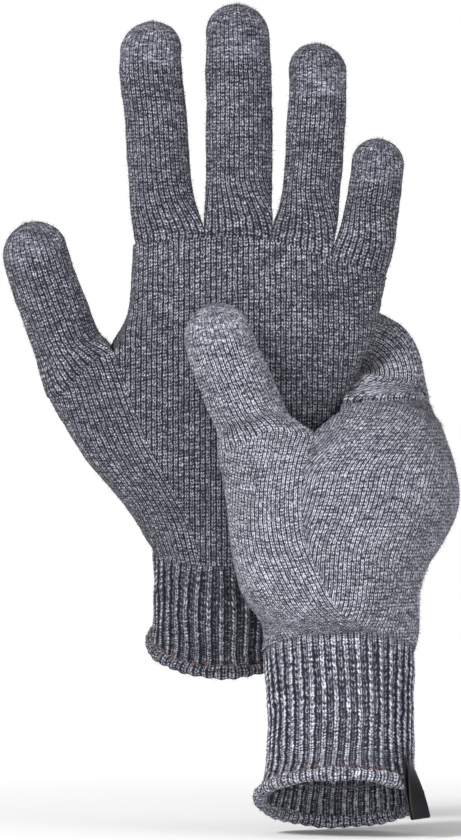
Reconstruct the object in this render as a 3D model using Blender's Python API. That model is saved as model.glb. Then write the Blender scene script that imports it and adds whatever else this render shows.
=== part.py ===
"""A pair of knitted touchscreen gloves in their worn shape.

The left glove stands with its fingers up and its palm forward (-Y). The right glove shows its
thumb side and grips the left glove's outer edge between thumb and index finger. Every soft
shell is an outer surface of rings, thickened inwards. Sizes below are in millimetres.
"""

import math

import bmesh
import bpy
import numpy as np

MM = 0.001
WALL = 1.8
GAP = 0.35
BASE_GAP = 1.0
START_RISE = 3.0
TURN_LENGTH = 20.0
HEM_RADIUS = 2.2
THREAD_RADIUS = 0.5
ELASTIC_RADIUS = 0.6
FRONT_COLUMNS = 4
SIDE_COLUMNS = 2
SIDE_ANGLE = math.radians(28)
END_INSET = 0.014
APART = 0.002
FINGER_SETTLE = 16.0  # distance over which a stall's section turns from its base into an oval
THUMB_SETTLE = 14.0
RIGHT_FINGER_SETTLE = 9.0
HAND_RINGS = 8
PALM_RINGS = 4
CUFF_RINGS = 8
CUFF_MATCH = 0.6  # the cuff's rings turn into the hand's lower edge above this level
ELASTIC_LEVEL = 0.30
HEM_GROW = 0.4
PALM_MATCH = 0.7
CAP_TURNS = 6
CAP_ANGLE = math.radians(78)
ROW_SPACING = 8.0
FORWARD_SHIFT = 45.0  # the origin is the right cuff's opening, this far before the left palm

MELANGE_LIGHT = (0.215, 0.218, 0.262)
MELANGE_DARK = (0.135, 0.137, 0.170)
TIP_LIGHT = (0.225, 0.228, 0.275)
TIP_DARK = (0.165, 0.168, 0.205)
THREAD_RED = (0.170, 0.060, 0.045)
ELASTIC_GREY = (0.090, 0.090, 0.100)
LABEL_BLACK = (0.012, 0.012, 0.014)
STITCH_BLACK = (0.030, 0.030, 0.033)

# A hand is a flattened tube round a bent mid-line. Each station gives four points of that
# line (thumb edge, thumb crotch, middle, little-finger edge), the half thickness, and how
# square the section's two ends are.
LEFT_HAND = [
    ((-68.5, 12, 93), (-51, 12, 92), (-33, 12, 92), (-15.5, 12, 93), 23.5, 2.0),
    ((-81, 6, 111), (-58, 8, 110), (-31, 9, 109), (-7, 9, 108), 20.5, 2.3),
    ((-95, 2, 128), (-73, 3, 136), (-36, 4, 137), (-1, 4, 134), 18.0, 2.6),
    ((-107, -1, 148), (-85, 0, 167), (-37, 1, 172), (10.5, 1, 166), 15.5, 2.8),
]
LEFT_PALM = [
    ((-85, 0, 167), (-37, 1, 172), (10.5, 1, 166), 15.5, 2.8),
    ((-78, 0, 181), (-32, 0, 185), (14.8, 0, 178), 14.8, 2.8),
    ((-76, 0, 206), (-30, 0, 208), (18.3, 0, 194), 14.0, 2.8),
]
RIGHT_HAND = [
    ((-18.8, -49.5, 60.6), (-6.3, -36.5, 57.3), (6.3, -23.5, 53.9), (18.8, -10.5, 50.6), 28.0, 2.0),
    ((-32, -47, 73), (-12, -42, 74), (6, -33, 74), (13, -3, 72), 23.5, 2.1),
    ((-38, -43, 87), (-16, -39, 90), (11, -31, 90), (18, 16, 87), 19.5, 2.3),
    ((-41, -34, 106), (-15, -32, 113), (24, -24, 114), (28, 48, 110), 17.5, 2.6),
    ((-44, -28, 125), (-11, -27, 136), (22, -16, 138), (25.5, 68, 133), 13.5, 2.8),
]
RIGHT_PALM = [
    ((-11, -27, 136), (22, -16, 138), (25.5, 68, 133), 13.5, 2.8),
    ((-1, -20, 141.5), (21.5, -6, 143), (23.5, 73, 139), 13.0, 2.8),
    ((9, -10, 147), (21, 3, 148), (22, 80, 144), 12.6, 2.8),
]

# A cuff's stations: centre, half width, half depth, forward lean of the ring in degrees.
LEFT_CUFF = [
    ((-42, 28.5, 59.5), 27.0, 25.5, -25),
    ((-42, 24.0, 68), 26.3, 24.0, -25),
    ((-42, 18.0, 80), 26.3, 23.5, -20),
    ((-42, 12.0, 92.4), 26.5, 23.5, -15),
]
RIGHT_CUFF = [
    ((0, -44.0, 4.5), 28.6, 29.5, 20),
    ((0.6, -41.5, 14), 26.8, 28.0, 18),
    ((0.8, -36.0, 34), 26.4, 27.0, 16),
    ((0.0, -30.0, 55.2), 28.0, 28.0, 15),
]

# A finger: share of the knuckle line, spine after the knuckle line, half widths and half
# depths along the spine, where its touch tip starts, and the side direction of its section.
LEFT_FINGERS = {
    "index": {
        "share": (0.0, 0.27),
        "spine": [(-65.7, 0, 226), (-67.5, 0, 252), (-69.6, 0, 274), (-68.6, 0, 289.6)],
        "width": [12.6, 12.1, 11.5, 11.5, 11.5],
        "depth": [13.6, 10.6, 10.0, 9.6, 9.4],
        "tip": 0.80,
        "side": (1, 0, 0),
    },
    "middle": {
        "share": (0.27, 0.53),
        "spine": [(-36.7, 0, 228), (-36.6, 0, 256), (-37.0, 0, 280), (-37.6, 0, 296.3)],
        "width": [12.5, 12.5, 12.3, 11.8, 11.8],
        "depth": [13.8, 10.8, 10.2, 9.8, 9.6],
        "tip": 0.76,
        "side": (1, 0, 0),
    },
    "ring": {
        "share": (0.53, 0.775),
        "spine": [(-10.2, 0, 222), (-8.2, 0, 246), (-7.0, 0, 266), (-7.6, 0, 281.5)],
        "width": [11.8, 11.0, 10.6, 10.6, 10.6],
        "depth": [13.6, 10.2, 9.8, 9.4, 9.2],
        "tip": 0.74,
        "side": (1, 0, 0),
    },
    "little": {
        "share": (0.775, 1.0),
        "spine": [(11.3, 0, 210), (13.6, 0, 222), (15.2, 0, 233), (16.0, 0, 245.6)],
        "width": [10.6, 10.2, 10.0, 9.8, 9.8],
        "depth": [12.4, 9.6, 9.2, 9.0, 8.8],
        "tip": 0.66,
        "side": (1, 0, -0.12),
    },
}
LEFT_THUMB = {
    "spine": [(-101.5, -1, 171), (-107.5, -1, 187), (-112.0, -1, 200.5), (-115.6, -1, 214.2)],
    "width": [14.5, 12.8, 12.3, 12.1, 12.1],
    "depth": [13.8, 12.2, 11.6, 11.2, 11.0],
    "tip": 0.76,
    "side": (1, 0, 0.34),
}
RIGHT_FINGER_SHARES = {
    "index": (0.0, 0.275),
    "middle": (0.275, 0.53),
    "ring": (0.53, 0.775),
    "little": (0.775, 1.0),
}
RIGHT_INDEX_SPINE = [
    (20.8, 6.0, 157),
    (19.0, 13.0, 164),
    (13.5, 20, 168.5),
    (6, 25.5, 170),
    (-9, 28, 169.5),
    (-33, 28, 165),
]
RIGHT_FINGER_STEP = {
    "index": (0, 0, 0),
    "middle": (0, 23.3, 2),
    "ring": (0, 44.1, 0),
    "little": (1, 63.0, -4),
}
RIGHT_FINGER_SIZE = {"index": 1.0, "middle": 1.0, "ring": 0.95, "little": 0.86}
RIGHT_FINGER_WIDTH = (10.4, 10.0)
RIGHT_FINGER_DEPTH = (12.2, 10.0)
RIGHT_FINGER_TIP = 0.76
RIGHT_KNUCKLE_POINT = (34.5, 35.0, 147.2)
RIGHT_KNUCKLE_LINE = (0, 0.9993, -0.037)  # the four right fingers open about this one line
RIGHT_THUMB = {
    "spine": [(-34.0, -28.5, 146), (-40.5, -29, 160), (-44.5, -29, 172), (-47.8, -29, 183.2)],
    "width": [15.5, 14.0, 13.2, 12.6, 12.2],
    "depth": [12.6, 12.4, 12.2, 12.0, 11.6],
    "tip": 0.74,
    "side": (1, 0, 0.34),
}

LABEL_WIDTH = 8.0
LABEL_LENGTH = 24.0
LABEL_PLY = 0.5
LABEL_TOP = (24.4, -62.6, 18.5)
LABEL_DIRECTION = (0.22, -0.16, -1.0)
LABEL_ACROSS = (0.80, 0.60, 0.0)
LABEL_HALF = 0.9  # half the folded label's thickness


# ---------------------------------------------------------------- scene helpers

def clear_scene():
    for item in list(bpy.data.objects):
        bpy.data.objects.remove(item, do_unlink=True)


def material(name, colour, roughness):
    made = bpy.data.materials.new(name)
    made.use_nodes = True
    shader = made.node_tree.nodes["Principled BSDF"]
    shader.inputs["Base Color"].default_value = (*colour, 1.0)
    shader.inputs["Roughness"].default_value = roughness
    shader.inputs["Metallic"].default_value = 0.0
    return made


def glove_frame():
    """Empty that carries both gloves from the left palm's plane to the part's own origin."""
    frame = bpy.data.objects.new("glove_frame", None)
    frame.location = (0, FORWARD_SHIFT * MM, 0)
    bpy.context.scene.collection.objects.link(frame)
    return frame


def pivot(name, place, frame):
    """Empty on a moving piece's joint axis."""
    empty = bpy.data.objects.new(name, None)
    empty.parent = frame
    empty.location = np.array(place) * MM
    bpy.context.scene.collection.objects.link(empty)
    return empty


def add_mesh(name, points, faces, look, parent, origin=(0, 0, 0)):
    """Mesh object from millimetre points, placed so that its origin is the parent's."""
    mesh = bpy.data.meshes.new(name)
    placed = (np.asarray(points, float) - np.asarray(origin, float)) * MM
    mesh.from_pydata(placed.tolist(), [], faces)
    work = bmesh.new()
    work.from_mesh(mesh)
    if all(edge.is_manifold for edge in work.edges):
        bmesh.ops.recalc_face_normals(work, faces=work.faces)
    work.to_mesh(mesh)
    work.free()
    mesh.materials.append(look)
    mesh.shade_smooth()
    item = bpy.data.objects.new(name, mesh)
    item.parent = parent
    bpy.context.scene.collection.objects.link(item)
    return item


# ---------------------------------------------------------------- curves and sections

def unit(vector):
    vector = np.asarray(vector, float)
    return vector / np.linalg.norm(vector, axis=-1, keepdims=True)


def smooth_path(rows, where):
    """Rows of numbers blended along a Catmull-Rom curve, at places from 0 to 1."""
    rows = np.asarray(rows, float)
    spans = len(rows) - 1
    ends = np.vstack([2 * rows[0] - rows[1], rows, 2 * rows[-1] - rows[-2]])
    x = np.clip(np.atleast_1d(np.asarray(where, float)), 0, 1) * spans
    i = np.minimum(x.astype(int), spans - 1)
    t = (x - i)[:, None]
    a, b, c, d = (ends[i + k] for k in range(4))
    cubic = 3 * b - a - 3 * c + d
    return 0.5 * (2 * b + (c - a) * t + (2 * a - 5 * b + 4 * c - d) * t**2 + cubic * t**3)


def station_rows(stations):
    return [np.concatenate([np.ravel(s[:-2]), s[-2:]]) for s in stations]


def smoothstep(x):
    x = np.clip(x, 0, 1)
    return x * x * (3 - 2 * x)


class Sleeve:
    """A flattened tube round a bent mid-line, blended between stations."""

    def __init__(self, stations, upright=False):
        self.rows = station_rows(stations)
        self.upright = upright

    def row(self, level):
        return smooth_path(self.rows, level)[0]

    def line(self, level):
        return self.row(level)[:-2].reshape(-1, 3)

    def up(self, level):
        """Direction of the sleeve, which turns upright towards a knuckle line."""
        low = self.line(max(level - 0.05, 0)).mean(0)
        high = self.line(min(level + 0.05, 1)).mean(0)
        upright = smoothstep(level) if self.upright else 0.0
        return unit(unit(high - low) * (1 - upright) + np.array([0, 0, upright]))

    def at(self, level, across, side):
        """Points of one ring: across runs 0 to 1 along the mid-line, side -1 to 1 through it."""
        depth, power = self.row(level)[-2:]
        dense = smooth_path(self.line(level), np.linspace(0, 1, 121))
        run = np.concatenate([[0], np.cumsum(np.linalg.norm(np.diff(dense, axis=0), axis=1))])
        place = np.asarray(across, float) * run[-1]
        middle = np.stack([np.interp(place, run, dense[:, k]) for k in range(3)], 1)
        slope = np.gradient(dense, run, axis=0)
        tangent = unit(np.stack([np.interp(place, run, slope[:, k]) for k in range(3)], 1))
        normal = unit(np.cross(tangent, self.up(level)))
        edge = np.abs(2 * np.asarray(across, float) - 1)
        half = depth * np.maximum(1 - edge**power, 0) ** (1 / power)
        return middle + normal * (half * side)[:, None]

    def crotch_share(self, level):
        """Share of the mid-line's length up to its second point."""
        dense = smooth_path(self.line(level), np.linspace(0, 1, 121))
        run = np.concatenate([[0], np.cumsum(np.linalg.norm(np.diff(dense, axis=0), axis=1))])
        return run[40] / run[-1]


def finger_fronts(shares):
    """Places across the knuckle line of each finger's front columns."""
    fronts = {}
    for name, (start, end) in shares.items():
        low = start + APART if start > 0 else END_INSET
        high = end - APART if end < 1 else 1 - END_INSET
        fronts[name] = np.linspace(low, high, FRONT_COLUMNS + 1)
    return fronts


def side_turn(edge, end):
    """Columns round one side of a ring: a straight wall at edge, or a rounded end."""
    turn = np.linspace(0, math.pi, SIDE_COLUMNS + 2)[1:-1]
    if end is None:
        return [(edge, math.cos(a)) for a in turn]
    cosines = [round(math.cos(a), 6) for a in turn]
    return [(end + (edge - end) * c * c, np.sign(c)) for c in cosines]


def ring_columns(front, left_end=None, right_end=None):
    """Columns (across, side) of a ring with given front columns; an end of None is a wall."""
    ring = [(w, 1.0) for w in front] + side_turn(front[-1], right_end)
    back = side_turn(front[0], left_end)[::-1]
    return np.array(ring + [(w, -1.0) for w in front[::-1]] + back)


def oval_angles():
    """Angles that match ring_columns on a finger's oval section."""
    front = np.linspace(math.pi - SIDE_ANGLE, SIDE_ANGLE, FRONT_COLUMNS + 1)
    side = np.linspace(SIDE_ANGLE, -SIDE_ANGLE, SIDE_COLUMNS + 2)[1:-1]
    return np.concatenate([front, side, -front[::-1], math.pi + side])


def loop_normal(loop, towards):
    """Normal of a closed loop of points, on the side of a given direction."""
    normal = unit(np.cross(loop, np.roll(loop, -1, 0)).sum(0))
    return normal if np.dot(normal, towards) > 0 else -normal


class Stall:
    """A finger or thumb tube that grows out of a slice of the hand's edge."""

    def __init__(self, base, up, spine, width, depth, side, settle):
        centre = base.mean(0)
        self.up = up
        self.base = base + self.up * BASE_GAP
        self.centre = centre + self.up * BASE_GAP
        self.spine = np.vstack([self.centre, self.centre + self.up * START_RISE, spine])
        given = np.linspace(0, 1, len(width))
        wanted = np.linspace(0, 1, len(self.spine))
        self.sizes = np.stack([np.interp(wanted, given, column) for column in (width, depth)], 1)
        self.side = unit(side)
        self.settle = settle
        run = np.linalg.norm(np.diff(smooth_path(self.spine, np.linspace(0, 1, 81)), axis=0), axis=1)
        self.run = np.concatenate([[0], np.cumsum(run)])
        self.length = self.run[-1]

    def level(self, distance):
        return np.interp(distance, self.run, np.linspace(0, 1, 81))

    def ring(self, distance):
        """Ring at a distance along the spine, rounded off towards the tip."""
        s = self.level(distance)
        centre = smooth_path(self.spine, s)[0]
        before = smooth_path(self.spine, max(s - 0.04, 0))[0]
        after = smooth_path(self.spine, min(s + 0.04, 1))[0]
        lean = smoothstep(distance / TURN_LENGTH)
        way = unit(self.up * (1 - lean) + unit(after - before) * lean)
        out = unit(np.cross(self.side, way))
        width, depth = smooth_path(self.sizes, s)[0]
        left = np.clip((self.length - distance) / width, 0, 1)
        cap = math.sqrt(max(1 - (1 - left) ** 2, 0.0))
        angle = oval_angles()[:, None]
        oval = self.side * np.cos(angle) * width * cap + out * np.sin(angle) * depth * cap
        blend = smoothstep(distance / self.settle)
        return centre + (self.base - self.centre) * (1 - blend) + oval * blend


# ---------------------------------------------------------------- meshes from rings

def inset(ring, normal=None):
    """Ring moved inwards in its own plane by the wall's thickness."""
    along = np.roll(ring, -1, 0) - np.roll(ring, 1, 0)
    normal = loop_normal(ring, (0, 0, 1)) if normal is None else normal
    inward = unit(np.cross(normal, along))
    centre = ring.mean(0)
    if np.sum(inward * (centre - ring)) < 0:
        inward = -inward
    return ring + inward * WALL


def ring_faces(first, second):
    """Quads between two rings of vertex numbers."""
    count = len(first)
    return [
        (first[j], second[j], second[(j + 1) % count], first[(j + 1) % count])
        for j in range(count)
    ]


def shell(outer, inner, faces):
    """Closed wall between an open outer surface and its inner copy, with rims round each edge."""
    used = {}
    for face in faces:
        for a, b in zip(face, face[1:] + face[:1]):
            used[(a, b)] = True
    offset = len(outer)
    closed = list(faces) + [tuple(v + offset for v in face[::-1]) for face in faces]
    closed += [(b, a, a + offset, b + offset) for a, b in used if (b, a) not in used]
    return np.vstack([outer, inner]), closed


def tube(rings, first_normal=None):
    """Closed wall of stacked rings that is open at both ends."""
    count = len(rings[0])
    numbers = np.arange(len(rings) * count).reshape(-1, count).tolist()
    faces = []
    for low, high in zip(numbers, numbers[1:]):
        faces += ring_faces(low, high)
    inner = [inset(rings[0], first_normal)] + [inset(ring) for ring in rings[1:]]
    return shell(np.vstack(rings), np.vstack(inner), faces)


def thimble(rings, radii):
    """Closed wall of a round-ended cap that is open at its first ring."""
    count = len(rings[0])
    inner = [inset(ring) for ring, size in zip(rings, radii) if size > 2.5 * WALL]
    order = inner[::-1] + rings
    numbers = np.arange(len(order) * count).reshape(-1, count).tolist()
    faces = [tuple(numbers[0]), tuple(numbers[-1][::-1])]
    for low, high in zip(numbers, numbers[1:]):
        faces += ring_faces(low, high)
    return np.vstack(order), faces


def ring_axis(lean):
    tilt = math.radians(lean)
    return np.array([0, math.sin(tilt), math.cos(tilt)])


def wrist_angles(wrist, lean):
    """Angles round the cuff at which the hand's first ring has its columns."""
    centre = wrist.mean(0)
    back = np.cross(ring_axis(lean), (1.0, 0, 0))
    angle = np.arctan2(-(wrist - centre) @ back, (wrist - centre)[:, 0])
    return np.unwrap(angle)


def oval_ring(row, angles, grow=0.0, rise=0.0):
    """Cuff ring of a station, made wider by grow and moved along its axis by rise."""
    centre, (half_width, half_depth, lean) = row[:3], row[3:]
    along = ring_axis(lean)
    back = np.cross(along, (1.0, 0, 0))
    angle = angles[:, None]
    across = np.array([1.0, 0, 0]) * np.cos(angle) * (half_width + grow)
    return centre + along * rise + across - back * np.sin(angle) * (half_depth + grow)


def ring_cord(centres, radius, sides=8):
    """Closed round cord along a closed ring of points."""
    around = len(centres)
    middle = centres.mean(0)
    forward = unit(np.roll(centres, -1, 0) - np.roll(centres, 1, 0))
    outward = unit(centres - middle)
    upward = unit(np.cross(forward, outward))
    angle = np.linspace(0, 2 * math.pi, sides, endpoint=False)
    points = [
        centres[j] + radius * (math.cos(a) * outward[j] + math.sin(a) * upward[j])
        for j in range(around)
        for a in angle
    ]
    faces = []
    for j in range(around):
        here = j * sides
        there = ((j + 1) % around) * sides
        for k in range(sides):
            step = (k + 1) % sides
            faces.append((here + k, here + step, there + step, there + k))
    return np.array(points), faces


# ---------------------------------------------------------------- pieces

def thumb_columns(hand, fronts):
    """Columns of the thumb's part of the split ring; its inner edge is the palm's first column."""
    share = hand.crotch_share(1.0)
    inner = share + (1 - share) * min(front[0] for front in fronts.values())
    low = share * 4 * END_INSET
    return ring_columns(np.linspace(low, inner, FRONT_COLUMNS + 1), left_end=0.0)


def make_hand(name, hand, palm, fronts, look, parent):
    """Palm, back and thumb gusset: one wall that splits at the thumb crotch."""
    share = hand.crotch_share(1.0)
    knuckles = np.unique(np.round(np.concatenate(list(fronts.values())), 6))
    palm_side = ring_columns(share + (1 - share) * knuckles, right_end=1.0)
    whole = ring_columns(knuckles, left_end=0.0, right_end=1.0)
    thumb_side = thumb_columns(hand, fronts)
    edge = FRONT_COLUMNS + 1
    outside = 2 * len(knuckles) + SIDE_COLUMNS
    thumb_back = thumb_side[edge + SIDE_COLUMNS :]
    columns = np.vstack([thumb_side[: edge - 1], palm_side[:outside], thumb_back[1:]])
    levels = np.linspace(0, 1, HAND_RINGS)
    rings = [hand.at(t, keep_crotch(columns[:, 0], share, hand, t), columns[:, 1]) for t in levels]
    insides = [inset(ring) for ring in rings]
    count = len(columns)
    numbers = np.arange(len(levels) * count).reshape(-1, count).tolist()
    faces = []
    for low, high in zip(numbers, numbers[1:]):
        faces += ring_faces(low, high)
    split = numbers[-1][edge - 1 : edge - 1 + outside]
    wall = hand.at(1.0, palm_side[outside:, 0], palm_side[outside:, 1])
    base = np.vstack([rings[-1][edge - 1 : edge - 1 + outside], wall])
    total = len(levels) * count
    split += list(range(total, total + SIDE_COLUMNS))
    rings.append(wall)
    insides.append(inset(base)[-SIDE_COLUMNS:])
    total += SIDE_COLUMNS
    for step in np.linspace(0, 1, PALM_RINGS + 1)[1:]:
        own = palm.at(step, *whole.T)
        blend = smoothstep(step / PALM_MATCH)
        ring = (base - base.mean(0) + own.mean(0)) * (1 - blend) + own * blend
        rings.append(ring)
        insides.append(inset(ring))
        upper = list(range(total, total + len(ring)))
        faces += ring_faces(split, upper)
        split = upper
        total += len(ring)
    add_mesh(name, *shell(np.vstack(rings), np.vstack(insides), faces), look, parent)


def keep_crotch(across, share, hand, level):
    """Move columns so that the crotch column keeps to the mid-line's second point."""
    here = hand.crotch_share(level)
    return np.interp(across, [0, share, 1], [0, here, 1])


def make_stall(side, finger, stall, tip_start, looks, parent, origin):
    """Stall and touch tip of one finger, with the small gaps that separate pieces keep."""
    knit, conductive = looks
    start = stall.length * tip_start
    rows = max(5, round(start / ROW_SPACING))
    body = [stall.ring(d) for d in np.linspace(0, start, rows + 1)]
    add_mesh(f"{side}_{finger}_stall", *tube(body, stall.up), knit, parent, origin)
    radius = stall.sizes[-1, 0]
    straight = max(stall.length - radius, start + GAP + 1)
    turns = np.linspace(0, CAP_ANGLE, CAP_TURNS)
    levels = np.concatenate([[start + GAP], straight + radius * np.sin(turns)])
    levels = levels[levels < stall.length - 0.2]
    cap = [stall.ring(d) for d in levels]
    radii = radius * np.sqrt(1 - np.clip(1 - (stall.length - levels) / radius, 0, 1) ** 2)
    wall = thimble(cap, radii)
    add_mesh(f"{side}_{finger}_touch_tip", *wall, conductive, parent, origin)


def make_cuff(side, stations, wrist, looks, parent):
    """Ribbed cuff, rolled hem, its thread and the elastic yarn inside the rib."""
    rows = [np.concatenate([np.ravel(s[0]), s[1:]]) for s in stations]
    wrist_up = loop_normal(wrist, (0, 0, 1))
    angles = wrist_angles(wrist, rows[-1][5])
    rings = []
    for level in np.linspace(0, 1, CUFF_RINGS):
        row = smooth_path(rows, level)[0]
        blend = smoothstep((level - CUFF_MATCH) / (1 - CUFF_MATCH))
        oval = oval_ring(row, angles)
        rings.append(oval * (1 - blend) + (wrist - wrist_up * BASE_GAP) * blend)
    add_mesh(f"{side}_cuff_rib", *tube(rings), looks["knit"], parent)
    roll = oval_ring(rows[0], angles, grow=HEM_GROW, rise=-(HEM_RADIUS + GAP))
    add_mesh(f"{side}_rolled_hem", *ring_cord(roll, HEM_RADIUS), looks["knit"], parent)
    seam = oval_ring(rows[0], angles, grow=THREAD_RADIUS + GAP, rise=THREAD_RADIUS + GAP)
    add_mesh(f"{side}_hem_thread", *ring_cord(seam, THREAD_RADIUS, 6), looks["thread"], parent)
    shrink = -(WALL + ELASTIC_RADIUS + 2 * GAP)
    ring = oval_ring(smooth_path(rows, ELASTIC_LEVEL)[0], angles, grow=shrink)
    add_mesh(f"{side}_cuff_elastic", *ring_cord(ring, ELASTIC_RADIUS, 6), looks["elastic"], parent)


def label_axes():
    """Directions down, across and out of the label."""
    down = unit(LABEL_DIRECTION)
    across = unit(np.asarray(LABEL_ACROSS) - down * np.dot(LABEL_ACROSS, down))
    return down, across, unit(np.cross(down, across))


def make_label(looks, parent, origin):
    """Folded ribbon label: two plies joined by a round fold at the bottom."""
    down, across, out = label_axes()
    half = LABEL_HALF
    turns = np.linspace(-math.pi / 2, math.pi / 2, 7)
    reach = LABEL_LENGTH - half
    outline = [(0, -half), (reach, -half)]
    outline += [(reach + half * math.cos(a), half * math.sin(a)) for a in turns[1:-1]]
    outline += [(reach, half), (0, half)]
    small = half - LABEL_PLY
    inner = [(0, small), (reach, small)]
    inner += [(reach + small * math.cos(a), -small * math.sin(a)) for a in turns[1:-1]]
    inner += [(reach, -small), (0, -small)]
    profile = np.array(outline + inner)
    top = np.asarray(LABEL_TOP)
    edges = []
    for edge in (-0.5, 0.5):
        place = top + across * LABEL_WIDTH * edge
        edges.append(place + profile[:, :1] * down + profile[:, 1:] * out)
    count = len(profile)
    points = np.vstack(edges)
    faces = [(j, (j + 1) % count, count + (j + 1) % count, count + j) for j in range(count)]
    half_count = len(outline)
    for offset, flip in ((0, False), (count, True)):
        for j in range(half_count - 1):
            k = count - 1 - j
            quad = (offset + j, offset + k, offset + k - 1, offset + j + 1)
            faces.append(quad[::-1] if flip else quad)
    add_mesh("right_label", points, faces, looks["label"], parent, origin)


def make_label_stitching(looks, parent):
    """Short row of stitches that holds the label's top edge to the rib."""
    down, across, out = label_axes()
    centre = np.asarray(LABEL_TOP) - down * (THREAD_RADIUS + GAP)
    half = LABEL_WIDTH / 2
    corners = []
    for x in (-half, half):
        for y in (-THREAD_RADIUS, THREAD_RADIUS):
            for z in (LABEL_HALF, -LABEL_HALF):
                corners.append(centre + across * x + down * y + out * z)
    faces = [(0, 1, 3, 2), (4, 6, 7, 5), (0, 4, 5, 1), (2, 3, 7, 6), (0, 2, 6, 4), (1, 5, 7, 3)]
    add_mesh("right_label_stitching", corners, faces, looks["stitch"], parent)


# ---------------------------------------------------------------- gloves

def finger_stall(palm, fronts, name, spine, width, depth, side, settle):
    front = fronts[name]
    left = 0.0 if front[0] <= END_INSET else None
    right = 1.0 if front[-1] >= 1 - END_INSET else None
    base = palm.at(1.0, *ring_columns(front, left, right).T)
    knuckles = np.concatenate(list(fronts.values()))
    up = loop_normal(palm.at(1.0, *ring_columns(knuckles, 0.0, 1.0).T), (0, 0, 1))
    return Stall(base, up, spine, width, depth, side, settle)


def thumb_stall(hand, fronts, data):
    base = hand.at(1.0, *thumb_columns(hand, fronts).T)
    up = loop_normal(base, (0, 0, 1))
    return Stall(base, up, data["spine"], data["width"], data["depth"], data["side"], THUMB_SETTLE)


def wrist_ring(hand):
    """Evenly spread columns round the hand's lower edge."""
    turn = np.linspace(math.pi, 0, 13)
    front = 0.5 - 0.5 * np.cos(math.pi - turn)
    columns = [(w, 1.0) for w in front[:-1]] + [(w, -1.0) for w in front[:0:-1]]
    return hand.at(0.0, *np.array(columns).T)


def crease(stall, outward):
    """Place on a stall's joint axis: its base edge on the side that it bends to."""
    outward = np.asarray(outward, float)
    up = loop_normal(stall.base, stall.up)
    centre = stall.base.mean(0)
    reach = np.max((stall.base - centre) @ outward)
    sink = np.min((stall.base - centre) @ up)
    return centre + outward * reach + up * sink


def knuckle_point(stall):
    """Place on the right knuckle line beside a stall's base."""
    point, line = np.asarray(RIGHT_KNUCKLE_POINT), np.asarray(RIGHT_KNUCKLE_LINE)
    return point + line * (stall.base.mean(0)[1] - point[1]) / line[1]


def make_left_glove(looks, frame):
    hand = Sleeve(LEFT_HAND)
    palm = Sleeve(LEFT_PALM, upright=True)
    fronts = finger_fronts({name: data["share"] for name, data in LEFT_FINGERS.items()})
    make_hand("left_hand", hand, palm, fronts, looks["knit"], frame)
    make_cuff("left", LEFT_CUFF, wrist_ring(hand), looks, frame)
    stalls = {"thumb": (thumb_stall(hand, fronts, LEFT_THUMB), LEFT_THUMB["tip"])}
    for name, data in LEFT_FINGERS.items():
        shape = [data[key] for key in ("spine", "width", "depth", "side")]
        stalls[name] = (finger_stall(palm, fronts, name, *shape, FINGER_SETTLE), data["tip"])
    for name, (stall, tip) in stalls.items():
        origin = crease(stall, (0, -1, 0))
        axis = pivot(f"left_{name}_axis", origin, frame)
        make_stall("left", name, stall, tip, (looks["knit"], looks["tip"]), axis, origin)


def make_right_glove(looks, frame):
    hand = Sleeve(RIGHT_HAND)
    palm = Sleeve(RIGHT_PALM, upright=True)
    fronts = finger_fronts(RIGHT_FINGER_SHARES)
    make_hand("right_hand", hand, palm, fronts, looks["knit"], frame)
    make_cuff("right", RIGHT_CUFF, wrist_ring(hand), looks, frame)
    thumb = thumb_stall(hand, fronts, RIGHT_THUMB)
    origin = crease(thumb, (0, -1, 0))
    axis = pivot("right_thumb_axis", origin, frame)
    make_stall("right", "thumb", thumb, RIGHT_THUMB["tip"], (looks["knit"], looks["tip"]), axis, origin)
    for name in RIGHT_FINGER_SHARES:
        size = RIGHT_FINGER_SIZE[name]
        spine = np.array(RIGHT_INDEX_SPINE) + np.array(RIGHT_FINGER_STEP[name])
        width = np.linspace(*RIGHT_FINGER_WIDTH, len(spine)) * size
        depth = np.linspace(*RIGHT_FINGER_DEPTH, len(spine)) * size
        shape = (spine, width, depth, (0, 1, 0), RIGHT_FINGER_SETTLE)
        stall = finger_stall(palm, fronts, name, *shape)
        origin = knuckle_point(stall)
        axis = pivot(f"right_{name}_axis", origin, frame)
        tip = RIGHT_FINGER_TIP
        make_stall("right", name, stall, tip, (looks["knit"], looks["tip"]), axis, origin)
    origin = np.asarray(LABEL_TOP) + label_axes()[2] * LABEL_HALF
    label_axis = pivot("right_label_axis", origin, frame)
    make_label(looks, label_axis, origin)
    make_label_stitching(looks, frame)


def glove_looks(side, knit, tip):
    return {
        "knit": material(f"{side}_melange_knit", knit, 0.95),
        "tip": material(f"{side}_conductive_knit", tip, 0.9),
        "thread": material(f"{side}_hem_thread", THREAD_RED, 0.8),
        "elastic": material(f"{side}_elastic_yarn", ELASTIC_GREY, 0.8),
    }


def main():
    clear_scene()
    frame = glove_frame()
    make_left_glove(glove_looks("left", MELANGE_DARK, TIP_DARK), frame)
    right = glove_looks("right", MELANGE_LIGHT, TIP_LIGHT)
    right["label"] = material("black_satin", LABEL_BLACK, 0.35)
    right["stitch"] = material("black_stitching", STITCH_BLACK, 0.7)
    make_right_glove(right, frame)


main()
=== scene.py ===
"""A pair of knitted touchscreen gloves, built as fine knitted surfaces round the fixed part.

Both gloves are plain knit with ribbed, rolled cuffs. Every surface carries knit coordinates:
u counts wales (columns of stitches) and v counts courses (rows of stitches). Sizes are in
millimetres in the left palm's frame, and are shifted to the part's frame when placed.
"""

import math

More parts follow.
